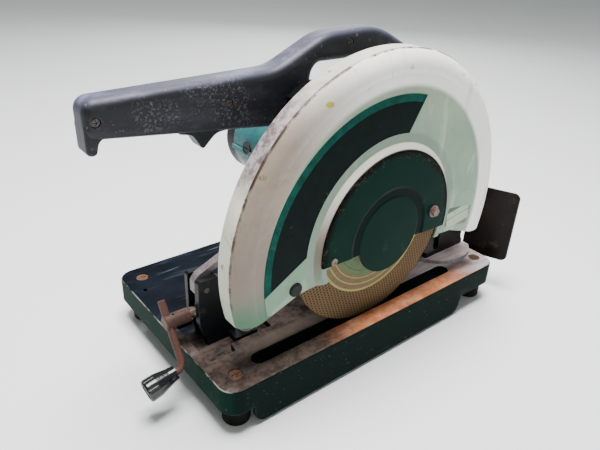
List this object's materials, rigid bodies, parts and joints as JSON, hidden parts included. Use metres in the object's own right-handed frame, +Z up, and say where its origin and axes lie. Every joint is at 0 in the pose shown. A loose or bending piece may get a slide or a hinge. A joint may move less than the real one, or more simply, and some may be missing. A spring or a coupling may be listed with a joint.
{
  "type": "abrasive chop saw",
  "caption": "Abrasive chop saw with a cast base, quick-action vice, hinged head, round two-part wheel guard, side motor and arched handle.",
  "frame": {"origin": "centre of the bounding box in plan, at floor level", "axes": "+X from the handle to the hinge, +Y from the label side of the guard to the motor, +Z up"},
  "size_m": [0.569, 0.28, 0.3946],
  "materials": {
    "base_paint": "worn dark green enamel",
    "rubber": "matt",
    "zinc_steel": "dull zinc plate",
    "cast_dark": "dark cast",
    "worn_steel": "rusty bare steel",
    "spring_steel": "oiled",
    "black_paint": "black enamel",
    "gear_case": "green-grey paint on die casting",
    "gear_steel": "machined",
    "abrasive": "glass-fibre mesh over grit",
    "paper_label": "printed paper",
    "copper": "bare copper",
    "fan_plastic": "moulded nylon",
    "core_steel": "laminated, varnished",
    "motor_paint": "green-grey paint on die casting",
    "black_plastic": "moulded",
    "guard_paint": "worn grey-green enamel",
    "label_plate": "printed plate with teal border",
    "cover_paint": "dark green enamel",
    "handle_plastic": "textured",
    "knob_plastic": "glossy",
    "fence_paint": "dark cast"
  },
  "bodies": {
    "base": {"base_casting": "base_paint", "rubber_feet": "rubber", "foot_screws": "zinc_steel", "fence": "fence_paint", "base_bolts": "zinc_steel", "vice_bracket": "cast_dark", "vice_bracket_bolts": "zinc_steel", "lever_pin": "zinc_steel", "hinge_bracket": "worn_steel", "hinge_pin": "zinc_steel", "return_spring": "spring_steel", "stop_bolt": "zinc_steel", "spark_plate": "black_paint", "spark_plate_bolts": "zinc_steel"},
    "half_nut_lever": {"half_nut_lever": "worn_steel"},
    "vice_jaw": {"vice_jaw": "cast_dark"},
    "vice_screw": {"vice_screw": "worn_steel", "crank_hub": "worn_steel", "crank_rod": "worn_steel"},
    "crank_knob": {"crank_knob": "knob_plastic"},
    "lock_pin": {"lock_pin": "zinc_steel"},
    "head": {"arm_casting": "gear_case", "gear_case_cover": "gear_case", "gear_case_screws": "zinc_steel", "spindle_bearings": "gear_steel", "armature_bearings": "gear_steel", "stator": "core_steel", "motor_housing": "motor_paint", "brush_caps": "black_plastic", "motor_end_cap": "black_plastic", "end_cap_screws": "zinc_steel", "guard_near_shell": "guard_paint", "guard_far_shell": "guard_paint", "guard_bolts": "zinc_steel", "guard_label": "label_plate", "guard_plug": "rubber", "cover_pivot_bolt": "worn_steel", "cover_latch_screw": "zinc_steel", "trigger_pin": "zinc_steel", "handle_near_half": "handle_plastic", "handle_far_half": "handle_plastic", "handle_screws": "zinc_steel", "switch_body": "black_plastic", "cord_gland": "rubber"},
    "spindle": {"spindle": "gear_steel", "drive_gear": "gear_steel", "inner_flange": "zinc_steel", "outer_flange": "zinc_steel", "wheel_bolt": "zinc_steel", "cutting_wheel": "abrasive", "wheel_label": "paper_label"},
    "armature": {"armature_shaft": "gear_steel", "armature_core": "core_steel", "commutator": "copper", "cooling_fan": "fan_plastic", "pinion": "gear_steel"},
    "centre_cover": {"centre_cover": "cover_paint"},
    "trigger": {"trigger": "black_plastic"},
    "lock_on_button": {"lock_on_button": "black_plastic"},
    "spindle_lock_button": {"spindle_lock_button": "black_plastic"}
  },
  "joints": [
    {"name": "head_pivot", "type": "hinge", "parent": "base", "child": "head", "pos_m": [0.2123, 0, 0.137], "axis": [0, 1, 0], "range_deg": [0, 45]},
    {"name": "spindle_spin", "type": "hinge", "parent": "head", "child": "spindle", "pos_m": [0.0183, 0, 0.1776], "axis": [0, 1, 0], "continuous": true},
    {"name": "armature_spin", "type": "hinge", "parent": "head", "child": "armature", "pos_m": [-0.00607, 0, 0.24108], "axis": [0, 1, 0], "continuous": true},
    {"name": "cover_swing", "type": "hinge", "parent": "head", "child": "centre_cover", "pos_m": [0.092, -0.1342, 0.188], "axis": [0, 1, 0], "range_deg": [0, 75]},
    {"name": "trigger_pull", "type": "hinge", "parent": "head", "child": "trigger", "pos_m": [-0.1395, -0.049, 0.322], "axis": [0, 1, 0], "range_deg": [0, 6], "stiffness_Nm_per_rad": 0.4, "springref_deg": -8.59},
    {"name": "lock_on_press", "type": "slide", "parent": "head", "child": "lock_on_button", "axis": [0, -1, 0], "range_m": [0, 0.003], "stiffness_N_per_m": 300, "springref_m": -0.002},
    {"name": "spindle_lock_press", "type": "slide", "parent": "head", "child": "spindle_lock_button", "axis": [0, -1, 0], "range_m": [0, 0.003], "stiffness_N_per_m": 400, "springref_m": -0.002},
    {"name": "jaw_slide", "type": "slide", "parent": "base", "child": "vice_jaw", "axis": [1, 0, 0], "range_m": [-0.125, 0]},
    {"name": "screw_turn", "type": "hinge", "parent": "vice_jaw", "child": "vice_screw", "pos_m": [0, -0.033, 0.095], "axis": [1, 0, 0], "range_deg": [-5620, 0]},
    {"name": "crank_knob_spin", "type": "hinge", "parent": "vice_screw", "child": "crank_knob", "pos_m": [-0.2145, -0.06283, 0.0524], "axis": [-0.9703, 0, -0.2419], "continuous": true},
    {"name": "lever_lift", "type": "hinge", "parent": "base", "child": "half_nut_lever", "pos_m": [-0.174, -0.033, 0.13], "axis": [0, 1, 0], "range_deg": [-24, 0]},
    {"name": "lock_pin_pull", "type": "slide", "parent": "base", "child": "lock_pin", "axis": [0, 1, 0], "range_m": [0, 0.01], "stiffness_N_per_m": 400, "springref_m": -0.004}
  ],
  "couplings": [
    {"joint": "armature_spin", "follows": "spindle_spin", "ratio": -5.8},
    {"joint": "jaw_slide", "follows": "screw_turn", "m_per_rad": 0.0012732}
  ]
}
